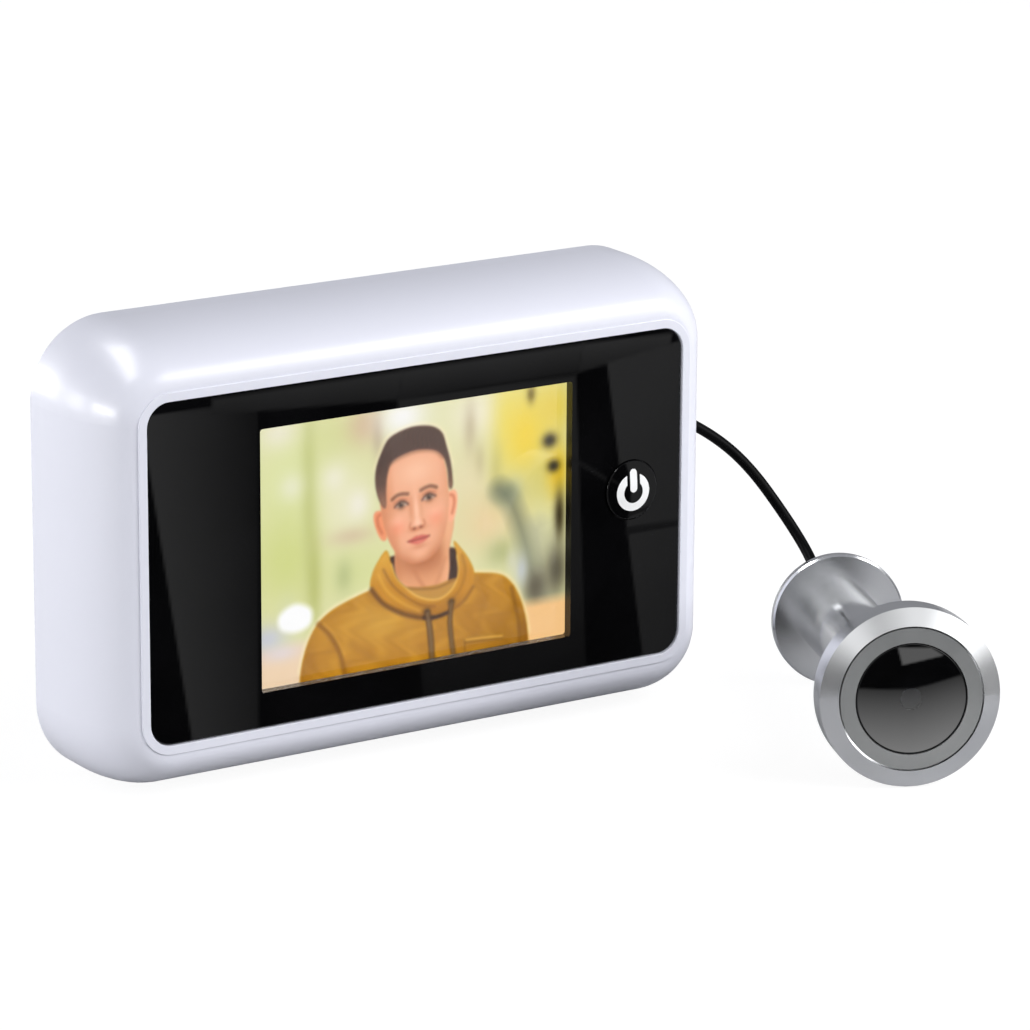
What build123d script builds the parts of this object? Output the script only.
"""Door viewer: a display unit that hangs on the inside of a door, and the peephole camera it is wired to.

Millimetres. +Z is up, +X is right seen from the front, and -Y is the side that the screen faces.
The origin is on the surface it stands on, at the middle of the flat foot band under the display unit.
"""
from build123d import *
from math import asin, atan, cos, degrees, pi, radians, sin, tan
import os

os.makedirs("parts", exist_ok=True)

overrun = 1.0

# Case of the display unit, with its margins round what it holds
side_border = 9.15
end_border = 10.35
case_corner = 13.7
foot_band = 4.5
round_inset = 8.0
case_wall = 2.0
shelf_thickness = 1.3
cover_thickness = 1.6
cover_gap = 0.1

# Front panel with its window and the margins round window and button
window_width = 62.4
window_height = 46.1
window_corner = 0.5
window_left = 21.55
window_above = 7.05
window_below = 6.15
button_space = 7.2
button_margin = 4.95
panel_corner = 4.1
panel_thickness = 1.8
panel_recess = 0.44
panel_gap = 0.1
panel_edge = 0.25
lip_width = 1.6
lip_rise = 0.25
lip_edge = 0.12
tape_thickness = 0.2
tape_margin = 0.7

# Display stack behind the window
glass_thickness = 0.7
glass_margin = 2.8
lcd_thickness = 1.3
lcd_ledge = 3.0
backlight_thickness = 1.5
frame_sheet = 0.3
frame_gap = 0.1
frame_lip = 4.0
foam_width = 5.0
shelf_gap = 0.6

# Main board
board_side_gap = 3.35
board_end_gap = 1.65
board_thickness = 1.2
board_corner = 2.0
post_radius = 2.4
post_side_inset = 8.5
post_end_inset = 3.5
board_screw_radius = 0.85
board_screw_head_radius = 1.6
board_screw_head = 1.0
board_screw_length = 4.0
thread_gap = 0.03
chip_height = 0.9
chip_corner = 0.4
processor_size = 9.0
processor_x = 9.0
processor_lift = 9.0
memory_width = 8.0
memory_height = 6.0
small_part_length = 1.6
small_part_width = 0.9
small_part_height = 0.7
small_part_pitch = 3.4
crystal_length = 4.6
crystal_width = 2.0
crystal_height = 1.3
inductor_size = 4.0
inductor_height = 2.0
ribbon_width = 20.0
ribbon_thickness = 0.15
ribbon_socket_height = 1.6
ribbon_socket_depth = 4.0
ribbon_socket_rise = 2.4
ribbon_drop = 0.6
ribbon_bend = 0.4
ribbon_gap = 0.9

# Power button and its switch
button_radius = 5.3
button_gap = 0.18
button_lift = 1.4
button_rise = 0.9
button_dome = 0.55
button_edge = 0.3
button_flange = 1.0
button_flange_thickness = 0.6
button_stem_radius = 2.2
button_stem = 0.2
button_travel = 0.35
symbol_radius = 3.4
symbol_stroke = 1.45
symbol_depth = 0.3
symbol_drop = 0.3
symbol_gap = 2.7
bar_length = 4.2
switch_size = 6.0
switch_height = 3.5
plunger_radius = 1.75
plunger_rise = 0.8
plunger_root = 1.2
running_gap = 0.05

# Rear cover, case screws and their bosses
screw_inset = 5.3
boss_radius = 2.6
boss_link = 1.2
boss_floor = 1.2
boss_spare = 1.3
pad_radius = 3.0
pad_depth = 3.2
screw_radius = 1.0
screw_length = 8.0
screw_head_radius = 1.9
screw_head = 1.4
screw_head_gap = 0.2
screw_sink = 1.7
slot_width = 0.5

# Battery bay, cells and door
cell_radius = 5.25
cell_length = 43.7
cell_nub_radius = 2.6
cell_nub = 0.8
cell_edge = 0.5
cell_space = 0.5
cell_count = 3
cell_gap = 0.3
bay_inset = 6.35
bay_low = 15.0
bay_above = 14.5
bay_wall = 1.2
bay_side_gap = 0.5
bay_floor = 1.0
bay_clearance = 1.86
plate_thickness = 0.3
plate_width = 7.6
plate_height = 6.8
tail_width = 2.0
spring_wire = 0.5
spring_radius = 3.2
spring_tip_radius = 2.0
spring_length = 5.4
door_thickness = 1.5
door_round = 0.5
door_overlap = 1.6
door_gap = 0.2
door_corner = 1.2
door_pad = 1.2
ledge_gap = 0.05
tab_width = 5.0
tab_depth = 1.2
tab_reach = 1.5
tab_root = 1.4
tab_gap = 0.1
tab_side_gap = 0.3
tab_clearance = 0.2
latch_width = 8.0
latch_depth = 1.05
latch_thickness = 1.2
latch_gap = 0.4
notch_width = 12.0
notch_height = 3.0
notch_depth = 0.7
notch_inset = 2.5

# Door bracket, its recess and its hooks, round the hole for the barrel and the pocket for the cable
barrel_hole_radius = 7.5
pocket_side = 7.5
pocket_above = 9.5
pocket_below = 3.6
pocket_corner = 4.0
pocket_depth = 7.0
pocket_wall = 1.4
hook_space = 3.1
hook_rise = 16.0
hook_width = 5.0
hook_arm = 1.2
hook_up = 3.2
hook_gap = 0.3
bracket_side = 10.0
bracket_end = 12.0
bracket_corner = 4.0
bracket_sheet = 1.2
bracket_gap = 0.1
bracket_side_gap = 0.4
bracket_travel = 5.0
bracket_room = 5.0
bracket_inset = 12.5
bracket_bay_gap = 8.65
bracket_screw_radius = 1.8
bracket_screw_step = 4.0

# Socket and plug of the camera cable
plug_lift = 9.0
plug_space = 1.7
socket_width = 12.0
socket_depth = 4.8
socket_height = 7.0
socket_wall = 0.8
socket_gap = 0.3
plug_insert = 4.0
plug_gap = 0.1
plug_head_gap = 0.3
plug_head = 4.2
boot_radius = 1.9
boot_tip_radius = 1.45
boot_length = 3.2

# Peephole camera, measured back from its front plane
camera_x = 60.78
camera_from_panel = 59.36
camera_yaw = 24.26
ring_inner_radius = 9.74
ring_width = 2.56
ring_thickness = 2.0
ring_seat = 0.9
groove_width = 0.3
bevel_width = 3.04
bevel_depth = 1.3
head_depth = 6.63
head_back_wall = 1.5
head_edge = 0.3
front_glass_thickness = 0.8
front_glass_sink = 0.15
glass_play = 0.12
baffle_thickness = 1.0
baffle_hole_radius = 2.3
lens_barrel_radius = 3.6
lens_barrel_wall = 1.0
lens_barrel_length = 4.6
lens_thickness = 1.1
lens_crown = 0.5
lens_sink = 0.4
lens_play = 0.01
sensor_size = 3.8
sensor_thickness = 0.7
sensor_board_radius = 4.4
sensor_board_thickness = 0.8
sensor_board_play = 0.2
tube_wall = 1.4
tube_room = 11.6
lead_room = 4.6
sleeve_wall = 0.95
sleeve_front = 11.5
sleeve_back = 61.2
flange_radius = 12.06
flange_thickness = 1.8
flange_edge = 0.35
flange_slot_width = 1.8
flange_slot_length = 3.4
flange_slot_depth = 0.8
gasket_inset = 1.24
gasket_play = 0.6
gasket_thickness = 0.8
grommet_length = 3.6
grommet_flange_radius = 3.2
grommet_nose = 3.0
grommet_nose_radius = 1.7

# Cable from the display unit to the camera
cable_radius = 1.0
corner_share = 0.45

# Outlines of the panel, the board, the battery bay and the bracket, from what each of them holds
panel_width = window_left + window_width + button_space + 2 * button_radius + button_margin
panel_height = window_above + window_height + window_below
window_shift = window_left + (window_width - panel_width) / 2
button_x = panel_width / 2 - button_margin - button_radius
board_width = panel_width - 2 * board_side_gap
board_height = panel_height - 2 * board_end_gap
post_spread = board_width / 2 - post_side_inset
post_rise = board_height / 2 - post_end_inset
cell_pitch = 2 * cell_radius + cell_space
bay_width = cell_pitch * (cell_count - 1) + 2 * (cell_radius + bay_side_gap)
bay_length = cell_length + cell_nub + 2 * plate_thickness + spring_length
pocket_width = 2 * (barrel_hole_radius + pocket_side)
hook_spread = pocket_width / 2 + pocket_wall + hook_space + hook_width / 2
bracket_width = 2 * (hook_spread + bracket_side)
bracket_height = 2 * (hook_rise + bracket_end)

# The case is as wide and as high as its front or its back needs, whichever is more
front_needs_width = panel_width + 2 * side_border
back_needs_width = bay_inset + bay_width + bracket_bay_gap + bracket_width + bracket_inset
case_width = max(front_needs_width, back_needs_width)
front_needs_height = panel_height + 2 * end_border
bay_needs_height = bay_low + bay_length + bay_above
bracket_needs_height = bracket_height + 2 * (
    bracket_travel + bracket_side_gap + cover_thickness + bracket_room
)
case_height = max(front_needs_height, bay_needs_height, bracket_needs_height)

# Its depth is the stack of panel, button, switch, board, battery bay and battery door
front_stack = panel_recess + panel_thickness + button_flange_thickness
board_stack = button_stem + plunger_rise + switch_height + board_thickness
bay_stack = bay_clearance + bay_floor + 2 * (cell_gap + cell_radius) + door_thickness
case_depth = front_stack + board_stack + bay_stack
round_depth = case_depth - foot_band

# Heights and depths that follow from the sizes above
middle = case_height / 2
back_y = foot_band / 2
rim_y = back_y - case_depth
panel_y = rim_y + panel_recess
panel_back = panel_y + panel_thickness
shelf_front = panel_back + tape_thickness
shelf_back = shelf_front + shelf_thickness
glass_back = shelf_front + glass_thickness
lcd_back = glass_back + lcd_thickness
light_back = lcd_back + backlight_thickness
frame_back = light_back + frame_sheet
flange_back = panel_back + button_flange_thickness
plunger_front = flange_back + button_stem
switch_front = plunger_front + plunger_rise
board_front = switch_front + switch_height
board_back = board_front + board_thickness
cover_inner = back_y - cover_thickness
window_z = middle + window_below + (window_height - panel_height) / 2
button_z = middle + button_lift
board_low = middle - board_height / 2
glass_width = window_width + 2 * glass_margin
glass_height = window_height + 2 * glass_margin
frame_width = glass_width + 2 * (frame_gap + frame_sheet)
frame_height = glass_height + 2 * (frame_gap + frame_sheet)
foam_thickness = board_front - frame_back


def facing(y):
    """Sketch plane at depth y, seen from the front: local x is X and local y is Z."""
    return Plane.XZ.offset(-y)


def side_link(x):
    """Length of a boss's link to the case wall, towards the side that the boss is on."""
    return boss_link if x > 0 else -boss_link


def soft_block(width, height, corner, inset, depth, front, start, back):
    """A block whose four sides curve in towards its front, by inset over depth, as part of an ellipse.

    front is where the full curve would end, and start is where the block is cut off flat.
    """
    side, top = width / 2 - corner, height / 2 - corner
    middle_y = front + depth
    first = degrees(asin((start - middle_y) / depth))
    nose = corner - inset + inset * cos(radians(first))
    right = Plane(origin=(side, 0, middle), x_dir=(1, 0, 0), z_dir=(0, 0, 1))
    corner_start = Plane(origin=(side, 0, middle + top), x_dir=(1, 0, 0), z_dir=(0, 0, 1))
    upper = Plane(origin=(side, 0, middle + top), x_dir=(0, 0, 1), z_dir=(-1, 0, 0))
    with BuildPart() as block:
        with BuildSketch(facing(back)):
            with Locations((side / 2, middle + top / 2)):
                Rectangle(side, top)
        extrude(amount=back - start)
        for plane, reach in ((right, top), (corner_start, 0), (upper, side)):
            with BuildSketch(plane) as section:
                with BuildLine():
                    Polyline((0, back), (0, start), (nose, start))
                    EllipticalCenterArc((corner - inset, middle_y), inset, depth, first, arc_size=-first)
                    Polyline((corner, middle_y), (corner, back), (0, back))
                make_face()
            if reach:
                extrude(amount=reach)
            else:
                revolve(axis=Axis((side, 0, middle + top), (0, -1, 0)), revolution_arc=90)
        mirror(about=Plane.YZ)
        mirror(about=Plane.XY.offset(middle))
    return block.part


# Front housing: one deep moulding with the shelf for the front panel, board posts and screw bosses
block_front = rim_y + lip_rise
outer_block = soft_block(
    case_width,
    case_height,
    case_corner,
    round_inset,
    round_depth - lip_rise,
    block_front,
    block_front,
    back_y,
)
cavity = soft_block(
    case_width - 2 * case_wall,
    case_height - 2 * case_wall,
    case_corner - case_wall,
    round_inset - case_wall,
    round_depth - case_wall,
    rim_y + case_wall,
    shelf_back,
    back_y + overrun,
)
corner_x = case_width / 2 - case_corner
corner_z = case_height / 2 - case_corner
screw_step = (case_corner - screw_inset) * cos(radians(45))
boss_spots = [
    (side * (corner_x + screw_step), middle + rise * (corner_z + screw_step), side * rise)
    for side in (-1, 1)
    for rise in (-1, 1)
]
post_spots = [(side * post_spread, middle + rise * post_rise) for side in (-1, 1) for rise in (-1, 1)]
pad_front = back_y - pad_depth
boss_hole = screw_length - (pad_depth - screw_sink) + boss_spare
button_well_radius = button_radius + button_gap + button_flange

with BuildPart() as front_housing:
    add(outer_block)
    with BuildSketch(facing(block_front + lip_rise)):
        with Locations((0, middle)):
            RectangleRounded(
                panel_width + 2 * (panel_gap + lip_width),
                panel_height + 2 * (panel_gap + lip_width),
                panel_corner + panel_gap + lip_width,
            )
    extrude(amount=2 * lip_rise)
    add(cavity, mode=Mode.SUBTRACT)
    with BuildSketch(facing(shelf_front)):
        with Locations((0, middle)):
            RectangleRounded(
                panel_width + 2 * panel_gap, panel_height + 2 * panel_gap, panel_corner + panel_gap
            )
    extrude(amount=shelf_front - rim_y + overrun, mode=Mode.SUBTRACT)
    fillet(front_housing.edges().group_by(Axis.Y)[0], lip_edge)
    with BuildSketch(facing(shelf_back + overrun)):
        with Locations((window_shift, window_z)):
            RectangleRounded(
                frame_width + 2 * shelf_gap, frame_height + 2 * shelf_gap, window_corner + shelf_gap
            )
        with Locations((button_x, button_z)):
            Circle(button_well_radius)
    extrude(amount=shelf_thickness + 2 * overrun, mode=Mode.SUBTRACT)
    with BuildSketch(facing(board_front)):
        with Locations(*post_spots):
            Circle(post_radius)
    extrude(amount=board_front - shelf_back)
    with BuildSketch(facing(board_front)):
        with Locations(*post_spots):
            Circle(board_screw_radius + thread_gap)
    extrude(amount=board_screw_length - board_thickness + thread_gap, mode=Mode.SUBTRACT)
    for x, z, slant in boss_spots:
        with BuildSketch(facing(pad_front)):
            with Locations((x, z)):
                SlotCenterPoint((0, 0), (side_link(x), 0), 2 * boss_radius, rotation=45 * slant)
        extrude(amount=boss_hole + boss_floor)
    with BuildSketch(facing(pad_front)):
        with Locations(*[(x, z) for x, z, slant in boss_spots]):
            Circle(screw_radius + thread_gap)
    extrude(amount=boss_hole, mode=Mode.SUBTRACT)
front_housing.part.label = "front_housing"
export_step(front_housing.part, "parts/front_housing.step")

# Glossy front panel with the window and the button hole
with BuildPart() as front_panel:
    with BuildSketch(facing(panel_back)):
        with Locations((0, middle)):
            RectangleRounded(panel_width, panel_height, panel_corner)
    extrude(amount=panel_thickness)
    fillet(front_panel.faces().sort_by(Axis.Y)[0].outer_wire().edges(), panel_edge)
    with BuildSketch(facing(panel_back)):
        with Locations((window_shift, window_z)):
            RectangleRounded(window_width, window_height, window_corner)
        with Locations((button_x, button_z)):
            Circle(button_radius + button_gap)
    extrude(amount=panel_thickness, mode=Mode.SUBTRACT)
front_panel.part.label = "front_panel"
export_step(front_panel.part, "parts/front_panel.step")

# Tape frame that holds the panel on the shelf and the glass on the panel
with BuildPart() as panel_tape:
    with BuildSketch(facing(shelf_front)):
        with Locations((0, middle)):
            RectangleRounded(
                panel_width - 2 * tape_margin, panel_height - 2 * tape_margin, panel_corner - tape_margin
            )
        with Locations((window_shift, window_z)):
            RectangleRounded(
                window_width + 2 * tape_margin,
                window_height + 2 * tape_margin,
                window_corner,
                mode=Mode.SUBTRACT,
            )
        with Locations((button_x, button_z)):
            Circle(button_well_radius, mode=Mode.SUBTRACT)
    extrude(amount=tape_thickness)
panel_tape.part.label = "panel_tape"
export_step(panel_tape.part, "parts/panel_tape.step")

# Display stack: cover glass, liquid crystal cell, backlight and the pressed frame round them
with BuildPart() as display_glass:
    with BuildSketch(facing(glass_back)):
        with Locations((window_shift, window_z)):
            RectangleRounded(glass_width, glass_height, window_corner)
    extrude(amount=glass_thickness)
display_glass.part.label = "display_glass"
export_step(display_glass.part, "parts/display_glass.step")

with BuildPart() as lcd_panel:
    with BuildSketch(facing(lcd_back)):
        with Locations((window_shift, window_z)):
            Rectangle(glass_width, glass_height)
    extrude(amount=lcd_thickness / 2)
    with BuildSketch(facing(lcd_back - lcd_thickness / 2)):
        with Locations((window_shift, window_z + lcd_ledge / 2)):
            Rectangle(glass_width, glass_height - lcd_ledge)
    extrude(amount=lcd_thickness / 2)
lcd_panel.part.label = "lcd_panel"
export_step(lcd_panel.part, "parts/lcd_panel.step")

with BuildPart() as backlight:
    with BuildSketch(facing(light_back)):
        with Locations((window_shift, window_z)):
            RectangleRounded(glass_width, glass_height, window_corner)
    extrude(amount=backlight_thickness)
backlight.part.label = "backlight"
export_step(backlight.part, "parts/backlight.step")

ribbon_slot_width = ribbon_width + 2 * frame_lip
with BuildPart() as display_frame:
    with BuildSketch(facing(frame_back)):
        with Locations((window_shift, window_z)):
            RectangleRounded(frame_width, frame_height, window_corner)
    extrude(amount=frame_back - glass_back)
    with BuildSketch(facing(light_back)):
        with Locations((window_shift, window_z)):
            Rectangle(frame_width - 2 * frame_sheet, frame_height - 2 * frame_sheet)
    extrude(amount=light_back - glass_back + overrun, mode=Mode.SUBTRACT)
    with BuildSketch(facing(frame_back)):
        with Locations((window_shift, window_z)):
            Rectangle(frame_width - 4 * frame_lip, frame_height - 4 * frame_lip)
    extrude(amount=frame_sheet, mode=Mode.SUBTRACT)
    with BuildSketch(facing(frame_back)):
        with Locations((window_shift, window_z - frame_height / 2)):
            Rectangle(ribbon_slot_width, 2 * frame_lip)
    extrude(amount=frame_back - glass_back, mode=Mode.SUBTRACT)
display_frame.part.label = "display_frame"
export_step(display_frame.part, "parts/display_frame.step")

foam_reach = frame_width / 2 - foam_width / 2
with BuildPart() as display_foam:
    with BuildSketch(facing(board_front)):
        with Locations((window_shift - foam_reach, window_z), (window_shift + foam_reach, window_z)):
            RectangleRounded(foam_width, frame_height - 4 * frame_lip, window_corner)
    extrude(amount=foam_thickness)
display_foam.part.label = "display_foam"
export_step(display_foam.part, "parts/display_foam.step")

# Ribbon from the ledge of the liquid crystal cell round the board's notch to its socket on the board
ribbon_x = window_shift
glass_low = window_z - glass_height / 2
ribbon_low = glass_low - ribbon_drop
ribbon_front = lcd_back - lcd_thickness / 2 - ribbon_thickness / 2
ribbon_rear = board_back + ribbon_socket_height / 2
socket_low = ribbon_low + ribbon_socket_rise
with BuildPart() as display_ribbon:
    with BuildSketch(Plane.YZ.offset(ribbon_x)):
        with BuildLine():
            FilletPolyline(
                (ribbon_front, glass_low + lcd_ledge / 2),
                (ribbon_front, ribbon_low),
                (ribbon_rear, ribbon_low),
                (ribbon_rear, socket_low),
                radius=ribbon_bend,
            )
        trace(line_width=ribbon_thickness)
    extrude(amount=ribbon_width / 2, both=True)
display_ribbon.part.label = "display_ribbon"
export_step(display_ribbon.part, "parts/display_ribbon.step")

with BuildPart() as ribbon_socket:
    with BuildSketch(facing(board_back + ribbon_socket_height)):
        with Locations((ribbon_x, socket_low + ribbon_socket_depth / 2)):
            Rectangle(ribbon_width + 2 * ribbon_gap, ribbon_socket_depth)
    extrude(amount=ribbon_socket_height)
    fillet(ribbon_socket.faces().sort_by(Axis.Y)[-1].edges(), ribbon_bend / 2)
ribbon_socket.part.label = "ribbon_socket"
export_step(ribbon_socket.part, "parts/ribbon_socket.step")

# Main board with the notch for the ribbon and its four screw holes
with BuildPart() as main_board:
    with BuildSketch(facing(board_back)):
        with Locations((0, middle)):
            RectangleRounded(board_width, board_height, board_corner)
        with Locations((ribbon_x, board_low)):
            Rectangle(
                ribbon_width + 2 * ribbon_gap, 2 * (ribbon_low + ribbon_gap - board_low), mode=Mode.SUBTRACT
            )
        with Locations(*post_spots):
            Circle(board_screw_radius + running_gap, mode=Mode.SUBTRACT)
    extrude(amount=board_thickness)
main_board.part.label = "main_board"
export_step(main_board.part, "parts/main_board.step")

with BuildPart() as board_screws:
    for x, z in post_spots:
        with BuildSketch(facing(board_back + board_screw_head)):
            with Locations((x, z)):
                Circle(board_screw_head_radius)
        extrude(amount=board_screw_head)
        with BuildSketch(facing(board_back)):
            with Locations((x, z)):
                Circle(board_screw_radius)
        extrude(amount=board_screw_length)
        with BuildSketch(facing(board_back + board_screw_head)):
            with Locations((x, z)):
                Rectangle(board_screw_head_radius, slot_width / 2)
                Rectangle(slot_width / 2, board_screw_head_radius)
        extrude(amount=board_screw_head / 2, mode=Mode.SUBTRACT)
board_screws.part.label = "board_screws"
export_step(board_screws.part, "parts/board_screws.step")

# Chips and small parts on the back of the board
processor_z = middle + processor_lift
with BuildPart() as processor_chip:
    with BuildSketch(facing(board_back + chip_height)):
        with Locations((processor_x, processor_z)):
            RectangleRounded(processor_size, processor_size, chip_corner)
    extrude(amount=chip_height)
processor_chip.part.label = "processor_chip"
export_step(processor_chip.part, "parts/processor_chip.step")

with BuildPart() as memory_chip:
    with BuildSketch(facing(board_back + chip_height)):
        with Locations((processor_x - processor_size / 2 - memory_width, processor_z)):
            Rectangle(memory_width, memory_height)
    extrude(amount=chip_height)
memory_chip.part.label = "memory_chip"
export_step(memory_chip.part, "parts/memory_chip.step")

with BuildPart() as board_parts:
    with BuildSketch(facing(board_back + small_part_height)):
        with Locations((processor_x, processor_z + processor_size)):
            with GridLocations(small_part_pitch, small_part_pitch, 6, 2):
                Rectangle(small_part_length, small_part_width)
        with Locations((processor_x, processor_z - processor_size)):
            with GridLocations(small_part_pitch, small_part_pitch, 4, 2):
                Rectangle(small_part_length, small_part_width)
    extrude(amount=small_part_height)
    with BuildSketch(facing(board_back + crystal_height)):
        with Locations((processor_x + processor_size, processor_z)):
            RectangleRounded(crystal_width, crystal_length, crystal_width / 3)
    extrude(amount=crystal_height)
    with BuildSketch(facing(board_back + inductor_height)):
        with Locations((post_spread, processor_z), (post_spread, processor_z - 2 * inductor_size)):
            RectangleRounded(inductor_size, inductor_size, inductor_size / 5)
    extrude(amount=inductor_height)
board_parts.part.label = "board_parts"
export_step(board_parts.part, "parts/board_parts.step")

# Tact switch on the front of the board, under the power button
plunger_back = switch_front + plunger_root
with BuildPart() as switch_body:
    with BuildSketch(facing(board_front)):
        with Locations((button_x, button_z)):
            RectangleRounded(switch_size, switch_size, chip_corner)
    extrude(amount=switch_height)
    with BuildSketch(facing(plunger_back + button_travel + running_gap)):
        with Locations((button_x, button_z)):
            Circle(plunger_radius + running_gap)
    extrude(amount=plunger_root + button_travel + running_gap, mode=Mode.SUBTRACT)
switch_body.part.label = "switch_body"
export_step(switch_body.part, "parts/switch_body.step")

with BuildPart() as switch_plunger:
    with BuildSketch(facing(plunger_back)):
        with Locations((button_x, button_z)):
            Circle(plunger_radius)
    extrude(amount=plunger_back - plunger_front)
switch_plunger.part.label = "switch_plunger"
export_step(switch_plunger.part, "parts/switch_plunger.step")

# Power button: a domed cap with a flange behind the panel and a stem on the switch
button_front = panel_y - button_rise
button_axis = Axis((button_x, 0, button_z), (0, 1, 0))
button_section = Plane(origin=(button_x, 0, button_z), x_dir=(1, 0, 0), z_dir=(0, 0, 1))
with BuildPart() as button_cap:
    with BuildSketch(button_section):
        with BuildLine():
            TangentArc((0, button_front), (button_radius, button_front + button_dome), tangent=(1, 0))
            Polyline(
                (button_radius, button_front + button_dome),
                (button_radius, panel_back),
                (button_radius + button_flange, panel_back),
                (button_radius + button_flange, flange_back),
                (button_stem_radius, flange_back),
                (button_stem_radius, plunger_front),
                (0, plunger_front),
                (0, button_front),
            )
        make_face()
        fillet(vertices().sort_by(Axis.Y)[1], button_edge)
    revolve(axis=button_axis)

# White power symbol set into the cap: an open ring and a bar
symbol_z = button_z - symbol_drop
with BuildPart() as power_symbol:
    with BuildSketch(facing(button_front + button_dome + symbol_depth)):
        with Locations((button_x, symbol_z)):
            Circle(symbol_radius)
            Circle(symbol_radius - symbol_stroke, mode=Mode.SUBTRACT)
        with Locations((button_x, symbol_z + symbol_radius)):
            Rectangle(symbol_gap, 2 * symbol_radius, mode=Mode.SUBTRACT)
        with Locations((button_x, symbol_z + bar_length / 2)):
            SlotOverall(bar_length, symbol_stroke, rotation=90)
    extrude(amount=button_dome + symbol_depth + overrun)
    add(button_cap.part, mode=Mode.INTERSECT)

with BuildPart() as power_button:
    add(button_cap.part)
    add(power_symbol.part, mode=Mode.SUBTRACT)
power_button.part.label = "power_button"
export_step(power_button.part, "parts/power_button.step")
power_symbol.part.label = "power_symbol"
export_step(power_symbol.part, "parts/power_symbol.step")

# Places on the back: bracket recess, cable pocket and battery bay
bracket_x = case_width / 2 - bracket_inset - bracket_width / 2
bracket_z = middle
recess_y = back_y - bracket_sheet - bracket_gap
recess_pad = recess_y - cover_thickness
recess_width = bracket_width + 2 * bracket_side_gap
recess_height = bracket_height + 2 * bracket_side_gap + bracket_travel
recess_z = bracket_z - bracket_travel / 2
plug_x = ribbon_x + ribbon_width / 2 + ribbon_gap + plug_space + socket_width / 2
plug_z = board_low + plug_lift
pocket_low = plug_z - socket_depth / 2 - pocket_below
pocket_top = bracket_z + barrel_hole_radius + pocket_above
pocket_height = pocket_top - pocket_low
pocket_z = (pocket_low + pocket_top) / 2
pocket_floor = recess_y - pocket_depth
pocket_back = pocket_floor - pocket_wall
door_inner = back_y - door_thickness
ledge_y = door_inner - ledge_gap
battery_pad = ledge_y - cover_thickness
cell_y = door_inner - cell_gap - cell_radius
bay_y = cell_y - cell_radius - cell_gap
bay_centre = bay_inset + (bay_width - case_width) / 2
bay_z = bay_low + bay_length / 2
bay_top = bay_low + bay_length
door_width = bay_width + 2 * door_overlap
door_height = bay_length + 2 * door_overlap
door_low = bay_z - door_height / 2
door_top = bay_z + door_height / 2
pivot_y = back_y - door_round
pivot_z = door_low + door_round
tab_spots = [bay_centre - cell_pitch / 2, bay_centre + cell_pitch / 2]
tab_back = ledge_y - tab_gap
tab_front = tab_back - tab_depth
tab_swing = ((pivot_y - tab_front) ** 2 + (pivot_z - door_low + tab_reach) ** 2) ** 0.5 + tab_clearance
hook_spots = [
    (bracket_x + side * hook_spread, bracket_z + rise * hook_rise) for side in (-1, 1) for rise in (-1, 1)
]
hook_back = back_y - bracket_sheet
hook_front = recess_pad - bracket_gap
socket_mouth = board_back + socket_height
cells_x = [bay_centre + cell_pitch * (i - (cell_count - 1) / 2) for i in range(cell_count)]
tail_x = [cells_x[0], cells_x[-1]]
tail_z = [bay_low + plate_thickness / 2, bay_top - plate_thickness / 2]

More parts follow.
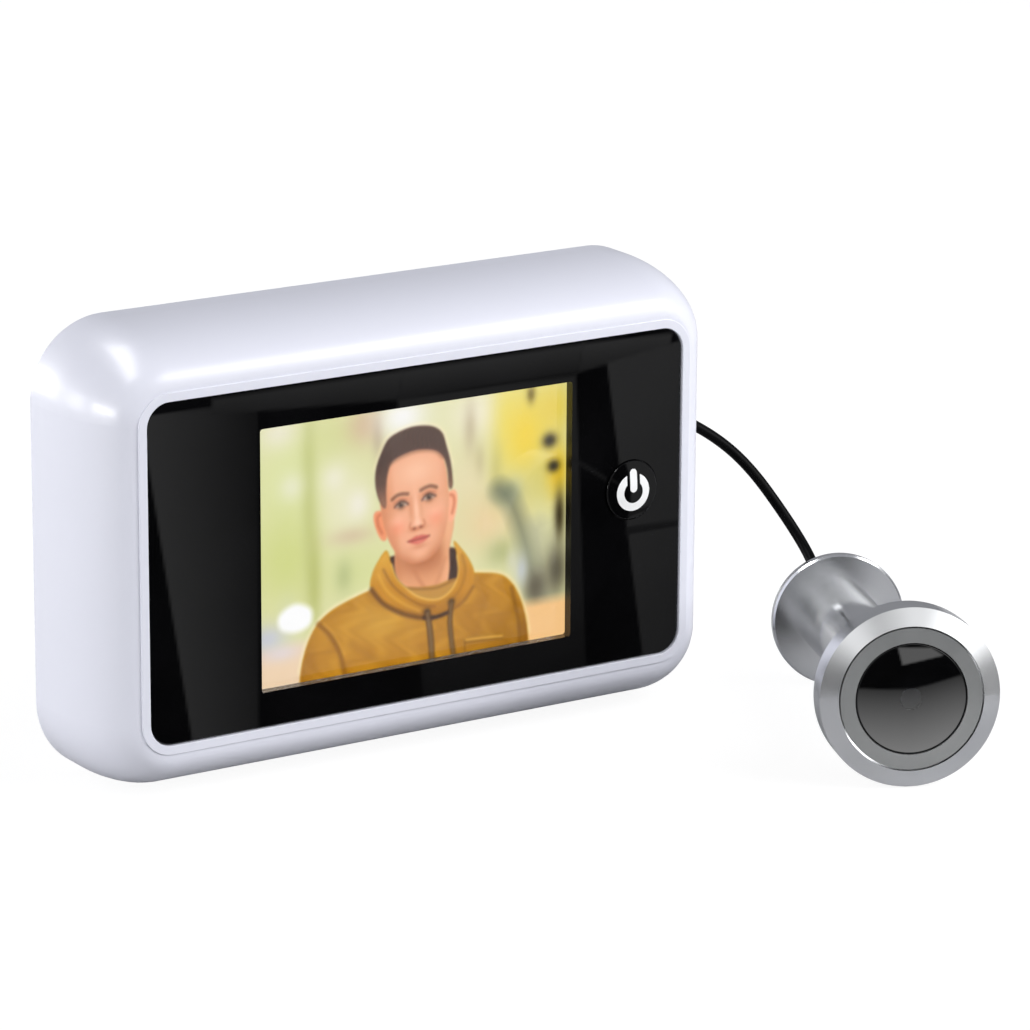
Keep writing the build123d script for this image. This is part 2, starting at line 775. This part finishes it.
with BuildPart() as rear_cover:
    with BuildSketch(facing(back_y)):
        with Locations((0, middle)):
            RectangleRounded(
                case_width - 2 * (case_wall + cover_gap),
                case_height - 2 * (case_wall + cover_gap),
                case_corner - case_wall - cover_gap,
            )
    extrude(amount=cover_thickness)
    with BuildSketch(facing(cover_inner)):
        with Locations((bracket_x, recess_z)):
            RectangleRounded(
                recess_width + 2 * cover_thickness, recess_height + 2 * cover_thickness, bracket_corner
            )
    extrude(amount=cover_inner - recess_pad)
    with BuildSketch(facing(recess_pad)):
        with Locations((bracket_x, pocket_z)):
            RectangleRounded(pocket_width + 2 * pocket_wall, pocket_height + 2 * pocket_wall, pocket_corner)
    extrude(amount=recess_pad - pocket_back)
    with BuildSketch(facing(cover_inner)):
        with Locations((bay_centre, bay_z)):
            RectangleRounded(
                door_width + 2 * (door_gap + door_pad), door_height + 2 * (door_gap + door_pad), door_corner
            )
    extrude(amount=cover_inner - battery_pad)
    with BuildSketch(facing(battery_pad)):
        with Locations((bay_centre, bay_z)):
            Rectangle(bay_width + 2 * bay_wall, bay_length + 2 * bay_wall)
    extrude(amount=battery_pad - bay_y + bay_floor)
    with BuildSketch(facing(cover_inner)):
        with Locations(*[(x, z) for x, z, slant in boss_spots]):
            Circle(pad_radius)
    extrude(amount=cover_inner - pad_front)
    with BuildSketch(facing(back_y + overrun)):
        with Locations((bracket_x, recess_z)):
            RectangleRounded(recess_width, recess_height, bracket_corner + bracket_side_gap)
    extrude(amount=back_y - recess_y + overrun, mode=Mode.SUBTRACT)
    with BuildSketch(facing(recess_y)):
        with Locations((bracket_x, pocket_z)):
            RectangleRounded(pocket_width, pocket_height, pocket_corner - pocket_wall)
    extrude(amount=pocket_depth, mode=Mode.SUBTRACT)
    with BuildSketch(facing(pocket_floor)):
        with Locations((plug_x, plug_z)):
            Rectangle(socket_width + 2 * socket_gap, socket_depth + 2 * socket_gap)
    extrude(amount=pocket_wall + overrun, mode=Mode.SUBTRACT)
    with BuildSketch(facing(recess_y)):
        for x, z in hook_spots:
            with Locations((x, z + hook_arm + hook_gap - (hook_arm + hook_up + bracket_travel) / 2)):
                Rectangle(hook_width + 2 * hook_gap, hook_arm + hook_up + bracket_travel)
    extrude(amount=recess_y - recess_pad + overrun, mode=Mode.SUBTRACT)
    with BuildSketch(facing(back_y + overrun)):
        with Locations((bay_centre, bay_z)):
            RectangleRounded(door_width + 2 * door_gap, door_height + 2 * door_gap, door_corner - door_gap)
    extrude(amount=back_y - ledge_y + overrun, mode=Mode.SUBTRACT)
    with BuildSketch(facing(ledge_y)):
        with Locations((bay_centre, bay_z)):
            Rectangle(bay_width, bay_length)
    extrude(amount=ledge_y - bay_y, mode=Mode.SUBTRACT)
    with BuildSketch(facing(ledge_y)):
        with Locations(*[(x, door_low) for x in tab_spots]):
            Rectangle(tab_width + 2 * tab_side_gap, 2 * tab_swing)
    extrude(amount=ledge_y - pivot_y + tab_swing, mode=Mode.SUBTRACT)
    with BuildSketch(facing(bay_y)):
        with Locations(*zip(tail_x, tail_z)):
            Rectangle(tail_width + 2 * tab_gap, plate_thickness + 2 * tab_gap)
    extrude(amount=bay_floor + overrun, mode=Mode.SUBTRACT)
    with BuildSketch(facing(back_y + overrun)):
        with Locations(*[(x, z) for x, z, slant in boss_spots]):
            Circle(screw_head_radius + screw_head_gap)
    extrude(amount=screw_sink + overrun, mode=Mode.SUBTRACT)
    with BuildSketch(facing(back_y)):
        with Locations(*[(x, z) for x, z, slant in boss_spots]):
            Circle(screw_radius + screw_head_gap)
    extrude(amount=pad_depth + overrun, mode=Mode.SUBTRACT)
rear_cover.part.label = "rear_cover"
export_step(rear_cover.part, "parts/rear_cover.step")

with BuildPart() as case_screws:
    for x, z, slant in boss_spots:
        with BuildSketch(facing(back_y - screw_sink + screw_head)):
            with Locations((x, z)):
                Circle(screw_head_radius)
        extrude(amount=screw_head)
        with BuildSketch(facing(back_y - screw_sink)):
            with Locations((x, z)):
                Circle(screw_radius)
        extrude(amount=screw_length)
        with BuildSketch(facing(back_y - screw_sink + screw_head)):
            with Locations((x, z)):
                Rectangle(screw_head_radius * 1.3, slot_width)
                Rectangle(slot_width, screw_head_radius * 1.3)
        extrude(amount=screw_head / 2, mode=Mode.SUBTRACT)
case_screws.part.label = "case_screws"
export_step(case_screws.part, "parts/case_screws.step")

# Cells in their bay: every other cell stands on its nub
cell_body_up = bay_top - plate_thickness - cell_nub - cell_length
cell_body_down = bay_low + plate_thickness + cell_nub
with BuildPart() as battery_cells:
    for i, x in enumerate(cells_x):
        upright = i % 2 == 0
        body = cell_body_up if upright else cell_body_down
        nub = body + cell_length if upright else body - cell_nub
        with BuildSketch(Plane.XY.offset(body)):
            with Locations((x, cell_y)):
                Circle(cell_radius)
        extrude(amount=cell_length)
        with BuildSketch(Plane.XY.offset(nub)):
            with Locations((x, cell_y)):
                Circle(cell_nub_radius)
        extrude(amount=cell_nub)
    rims = battery_cells.edges().filter_by(GeomType.CIRCLE)
    fillet(rims.filter_by(lambda rim: rim.radius > cell_nub_radius + cell_edge), cell_edge)
battery_cells.part.label = "battery_cells"
export_step(battery_cells.part, "parts/battery_cells.step")

# Contact plates at both ends of the bay, two of them with a tail to the board
with BuildPart() as battery_plates:
    low_row = (bay_low, cells_x[0], cells_x[1:])
    top_row = (bay_top - plate_thickness, cells_x[-1], cells_x[:-1])
    for z, single, pair in (low_row, top_row):
        with BuildSketch(Plane.XY.offset(z)):
            with Locations((single, cell_y)):
                Rectangle(plate_width, plate_height)
            with Locations((sum(pair) / len(pair), cell_y)):
                Rectangle(plate_width + cell_pitch, plate_height)
            with Locations((single, (cell_y + board_back) / 2)):
                Rectangle(tail_width, cell_y - board_back)
        extrude(amount=plate_thickness)
battery_plates.part.label = "battery_plates"
export_step(battery_plates.part, "parts/battery_plates.step")

# Contact springs, wound as cones from the plate to the cell
with BuildPart() as battery_springs:
    for i, x in enumerate(cells_x):
        upright = i % 2 == 0
        plate_face = bay_low + plate_thickness if upright else bay_top - plate_thickness
        cell_face = cell_body_up if upright else cell_body_down + cell_length
        with BuildSketch(Plane(origin=(x, cell_y, 0), x_dir=(1, 0, 0), z_dir=(0, -1, 0))):
            with BuildLine():
                Polyline(
                    (spring_radius - spring_wire, plate_face),
                    (spring_radius, plate_face),
                    (spring_tip_radius, cell_face),
                    (spring_tip_radius - spring_wire, cell_face),
                    close=True,
                )
            make_face()
        revolve(axis=Axis((x, cell_y, 0), (0, 0, 1)))
battery_springs.part.label = "battery_springs"
export_step(battery_springs.part, "parts/battery_springs.step")

# Battery door: it turns on its rounded foot, with tabs under the cover, a latch rib and a finger notch
with BuildPart() as battery_door:
    with BuildSketch(facing(back_y)):
        with Locations((bay_centre, bay_z)):
            RectangleRounded(door_width, door_height, door_corner)
    extrude(amount=door_thickness)
    fillet(battery_door.faces().filter_by(Axis.Y).edges(), door_round)
    for x in tab_spots:
        with BuildSketch(facing(door_inner)):
            with Locations((x, door_low + tab_root / 2)):
                Rectangle(tab_width, tab_root)
        extrude(amount=door_inner - tab_front)
        with BuildSketch(facing(tab_back)):
            with Locations((x, door_low + tab_root / 2 - tab_reach / 2)):
                Rectangle(tab_width, tab_reach + tab_root)
        extrude(amount=tab_depth)
    with BuildSketch(facing(door_inner)):
        with Locations((bay_centre, bay_top - latch_gap - latch_thickness / 2)):
            Rectangle(latch_width, latch_thickness)
    extrude(amount=latch_depth)
    with BuildSketch(facing(back_y)):
        with Locations((bay_centre, door_top - notch_inset - notch_height / 2)):
            SlotOverall(notch_width, notch_height)
    extrude(amount=notch_depth, mode=Mode.SUBTRACT)
battery_door.part.label = "battery_door"
export_step(battery_door.part, "parts/battery_door.step")

# Door bracket: a steel plate with the barrel hole, screw holes and four hooks bent forward and up
with BuildPart() as door_bracket:
    with BuildSketch(facing(back_y)):
        with Locations((bracket_x, bracket_z)):
            RectangleRounded(bracket_width, bracket_height, bracket_corner)
            Circle(barrel_hole_radius, mode=Mode.SUBTRACT)
            with GridLocations(
                2 * (hook_spread + bracket_screw_step), 2 * (hook_rise + bracket_screw_step), 2, 2
            ):
                Circle(bracket_screw_radius, mode=Mode.SUBTRACT)
    extrude(amount=bracket_sheet)
    for x, z in hook_spots:
        with BuildSketch(facing(hook_back)):
            with Locations((x, z + hook_arm / 2)):
                Rectangle(hook_width, hook_arm)
        extrude(amount=hook_back - hook_front + bracket_sheet)
        with BuildSketch(facing(hook_front)):
            with Locations((x, z + (hook_arm + hook_up) / 2)):
                Rectangle(hook_width, hook_arm + hook_up)
        extrude(amount=bracket_sheet)
door_bracket.part.label = "door_bracket"
export_step(door_bracket.part, "parts/door_bracket.step")

# Socket on the board for the camera cable, and the right-angled plug in it
with BuildPart() as camera_socket:
    with BuildSketch(facing(socket_mouth)):
        with Locations((plug_x, plug_z)):
            Rectangle(socket_width, socket_depth)
    extrude(amount=socket_height)
    with BuildSketch(facing(socket_mouth)):
        with Locations((plug_x, plug_z)):
            Rectangle(socket_width - 2 * socket_wall, socket_depth - 2 * socket_wall)
    extrude(amount=plug_insert + socket_wall, mode=Mode.SUBTRACT)
camera_socket.part.label = "camera_socket"
export_step(camera_socket.part, "parts/camera_socket.step")

head_low = socket_mouth + plug_head_gap
plug_y = head_low + plug_head / 2
boot_z = plug_z + socket_depth / 2
with BuildPart() as camera_plug:
    with BuildSketch(facing(head_low)):
        with Locations((plug_x, plug_z)):
            Rectangle(
                socket_width - 2 * (socket_wall + plug_gap), socket_depth - 2 * (socket_wall + plug_gap)
            )
    extrude(amount=plug_insert + plug_head_gap)
    with BuildSketch(facing(head_low + plug_head)):
        with Locations((plug_x, plug_z)):
            RectangleRounded(socket_width - 2 * socket_wall, socket_depth, socket_wall)
    extrude(amount=plug_head)
    with BuildSketch(Plane.XY.offset(boot_z)):
        with Locations((plug_x, plug_y)):
            Circle(boot_radius)
    with BuildSketch(Plane.XY.offset(boot_z + boot_length)):
        with Locations((plug_x, plug_y)):
            Circle(boot_tip_radius)
    loft()
camera_plug.part.label = "camera_plug"
export_step(camera_plug.part, "parts/camera_plug.step")

# Radii of the peephole camera from the inside out, and the ends of the tube and the lead in its sleeve
ring_radius = ring_inner_radius + ring_width
groove_radius = ring_radius + groove_width
head_radius = groove_radius + bevel_width
tube_bore_radius = sensor_board_radius + sensor_board_play
tube_radius = tube_bore_radius + tube_wall
sleeve_bore = tube_radius + running_gap
sleeve_radius = sleeve_bore + sleeve_wall
tube_end = sleeve_back - grommet_length - tube_room
lead_end = sleeve_back - grommet_length - lead_room

# Frame of the peephole camera: its axis points out of the lens and lies as the two rims on the floor set it
rim_depth = head_depth - head_edge / 2
tilt = atan((head_radius - flange_radius) / (sleeve_back - rim_depth))
yaw = radians(camera_yaw)
lens_axis = Vector(-sin(yaw) * cos(tilt), -cos(yaw) * cos(tilt), sin(tilt))
lens_side = Vector(cos(yaw), -sin(yaw), 0)
lens_front = Vector(
    camera_x, panel_y - camera_from_panel, head_radius * cos(tilt) + rim_depth * sin(tilt)
)
lens_line = Axis(lens_front, lens_axis)
section = Plane(origin=lens_front, x_dir=lens_side, z_dir=lens_side.cross(lens_axis))


def across(depth):
    """Sketch plane square to the camera's axis, at a depth behind the front plane."""
    return Plane(origin=lens_front - lens_axis * depth, x_dir=lens_side, z_dir=lens_axis)


glass_radius = ring_inner_radius - glass_play
baffle_front = ring_thickness
barrel_front = baffle_front + baffle_thickness
barrel_back = barrel_front + lens_barrel_length
head_floor = head_depth - head_back_wall
board_depth = barrel_back + sensor_thickness

# Camera head: a turned steel shell with a polished bevel
with BuildPart() as camera_head:
    with BuildSketch(section):
        with BuildLine():
            Polyline(
                (groove_radius, 0),
                (head_radius, -bevel_depth),
                (head_radius, -head_depth + head_edge / 2),
                (head_radius - head_edge, -head_depth),
                (tube_radius, -head_depth),
                (tube_radius, -head_floor),
                (ring_radius - ring_seat, -head_floor),
                (ring_radius - ring_seat, -ring_thickness),
                (groove_radius, -ring_thickness),
                close=True,
            )
        make_face()
    revolve(axis=lens_line)
camera_head.part.label = "camera_head"
export_step(camera_head.part, "parts/camera_head.step")

# Matt ring round the front glass, with a seat for it
with BuildPart() as lens_ring:
    with BuildSketch(across(ring_thickness)):
        Circle(ring_radius)
        Circle(ring_inner_radius - ring_seat, mode=Mode.SUBTRACT)
    extrude(amount=ring_thickness)
    with BuildSketch(across(front_glass_sink + front_glass_thickness)):
        Circle(ring_inner_radius)
    extrude(amount=front_glass_sink + front_glass_thickness, mode=Mode.SUBTRACT)
lens_ring.part.label = "lens_ring"
export_step(lens_ring.part, "parts/lens_ring.step")

with BuildPart() as front_glass:
    with BuildSketch(across(front_glass_sink + front_glass_thickness)):
        Circle(glass_radius)
    extrude(amount=front_glass_thickness)
front_glass.part.label = "front_glass"
export_step(front_glass.part, "parts/front_glass.step")

# Black baffle behind the glass, with the hole that the lens looks through
with BuildPart() as lens_baffle:
    with BuildSketch(across(barrel_front)):
        Circle(ring_radius - ring_seat - glass_play)
        Circle(baffle_hole_radius, mode=Mode.SUBTRACT)
    extrude(amount=baffle_thickness)
lens_baffle.part.label = "lens_baffle"
export_step(lens_baffle.part, "parts/lens_baffle.step")

# Lens barrel with the front lens in its mouth
barrel_bore = lens_barrel_radius - lens_barrel_wall
lens_edge = barrel_bore - lens_play
with BuildPart() as lens_barrel:
    with BuildSketch(across(barrel_back)):
        Circle(lens_barrel_radius)
        Circle(barrel_bore, mode=Mode.SUBTRACT)
    extrude(amount=lens_barrel_length)
lens_barrel.part.label = "lens_barrel"
export_step(lens_barrel.part, "parts/lens_barrel.step")

lens_top = barrel_front + lens_sink
with BuildPart() as front_lens:
    with BuildSketch(section):
        with BuildLine():
            Polyline(
                (0, -lens_top),
                (0, -lens_top - lens_thickness),
                (lens_edge, -lens_top - lens_thickness),
                (lens_edge, -lens_top - lens_crown),
            )
            TangentArc((0, -lens_top), (lens_edge, -lens_top - lens_crown), tangent=(1, 0))
        make_face()
    revolve(axis=lens_line)
front_lens.part.label = "front_lens"
export_step(front_lens.part, "parts/front_lens.step")

# Image sensor on its round board, inside the tube behind the barrel
with BuildPart() as image_sensor:
    with BuildSketch(across(board_depth)):
        Rectangle(sensor_size, sensor_size)
    extrude(amount=sensor_thickness)
image_sensor.part.label = "image_sensor"
export_step(image_sensor.part, "parts/image_sensor.step")

with BuildPart() as sensor_board:
    with BuildSketch(across(board_depth + sensor_board_thickness)):
        Circle(sensor_board_radius)
    extrude(amount=sensor_board_thickness)
sensor_board.part.label = "sensor_board"
export_step(sensor_board.part, "parts/sensor_board.step")

with BuildPart() as camera_lead:
    with BuildSketch(across(lead_end)):
        Circle(cable_radius)
    extrude(amount=lead_end - board_depth - sensor_board_thickness)
camera_lead.part.label = "camera_lead"
export_step(camera_lead.part, "parts/camera_lead.step")

# Threaded tube that carries the head, and the flanged sleeve that screws on it from inside the door
with BuildPart() as threaded_tube:
    with BuildSketch(across(tube_end)):
        Circle(tube_radius)
        Circle(tube_bore_radius, mode=Mode.SUBTRACT)
    extrude(amount=tube_end - head_floor)
threaded_tube.part.label = "threaded_tube"
export_step(threaded_tube.part, "parts/threaded_tube.step")

with BuildPart() as head_gasket:
    with BuildSketch(across(head_depth + gasket_thickness)):
        Circle(head_radius - gasket_inset)
        Circle(sleeve_radius + gasket_play, mode=Mode.SUBTRACT)
    extrude(amount=gasket_thickness)
head_gasket.part.label = "head_gasket"
export_step(head_gasket.part, "parts/head_gasket.step")

with BuildPart() as barrel_sleeve:
    with BuildSketch(section):
        with BuildLine():
            Polyline(
                (sleeve_bore, -sleeve_front),
                (sleeve_radius, -sleeve_front),
                (sleeve_radius, -sleeve_back + flange_thickness),
                (flange_radius - flange_edge, -sleeve_back + flange_thickness),
                (flange_radius, -sleeve_back + flange_thickness - flange_edge),
                (flange_radius, -sleeve_back),
                (sleeve_bore, -sleeve_back),
                close=True,
            )
        make_face()
    revolve(axis=lens_line)
    with BuildSketch(across(sleeve_back)):
        with Locations(*[((sleeve_radius + flange_radius) / 2 * side, 0) for side in (-1, 1)]):
            SlotOverall(flange_slot_length, flange_slot_width)
    extrude(amount=flange_slot_depth, mode=Mode.SUBTRACT)
barrel_sleeve.part.label = "barrel_sleeve"
export_step(barrel_sleeve.part, "parts/barrel_sleeve.step")

# Rubber grommet in the sleeve's rear mouth, with a tapered nose for the cable
nose_end = sleeve_back + grommet_nose
with BuildPart() as rear_grommet:
    with BuildSketch(section):
        with BuildLine():
            Polyline(
                (0, -sleeve_back + grommet_length),
                (tube_radius, -sleeve_back + grommet_length),
                (tube_radius, -sleeve_back),
                (grommet_flange_radius, -sleeve_back),
                (grommet_nose_radius, -nose_end),
                (0, -nose_end),
                close=True,
            )
        make_face()
    revolve(axis=lens_line)
rear_grommet.part.label = "rear_grommet"
export_step(rear_grommet.part, "parts/rear_grommet.step")

# Cable: out of the plug, through the bracket's hole, behind the unit and over to the back of the camera
cable_start = Vector(plug_x, plug_y, boot_z + boot_length)
cable_finish = lens_front - lens_axis * nose_end
cable_route = [
    cable_start,
    cable_start + Vector(0, 0, 5.5),
    Vector(18.2, -0.4, 38.2),
    Vector(19.6, 6.6, 41.6),
    Vector(24.0, 14.0, 44.0),
    Vector(33.0, 18.5, 47.5),
    Vector(45.5, 17.5, 50.5),
    Vector(58.0, 13.0, 50.8),
    Vector(69.5, 9.8, 45.9),
    Vector(81.3, 9.5, 39.6),
    Vector(89.2, 8.0, 32.6),
    Vector(94.9, 3.5, 22.7),
    Vector(96.2, -3.0, 16.0),
    Vector(92.8, -10.3, 12.9),
    cable_finish - lens_axis * 6.0,
    cable_finish,
]
cable_radii = []
for before, here, after in zip(cable_route, cable_route[1:], cable_route[2:]):
    into, out = here - before, after - here
    turn = radians(into.get_angle(out))
    cable_radii.append(corner_share * min(into.length, out.length) / tan(turn / 2))
print("cable radii", [round(r, 1) for r in cable_radii])

with BuildPart() as camera_cable:
    with BuildLine() as cable_line:
        FilletPolyline(*cable_route, radius=cable_radii)
    cable_path = cable_line.wires()[0]
    with BuildSketch(Plane(origin=cable_path @ 0, z_dir=cable_path % 0)):
        Circle(cable_radius)
    sweep(path=cable_path)
cable_volume = cable_path.length * pi * cable_radius**2
print("cable length", round(cable_path.length, 1))
print("cable volume against section times length", round(camera_cable.part.volume / cable_volume, 4))
camera_cable.part.label = "camera_cable"
export_step(camera_cable.part, "parts/camera_cable.step")
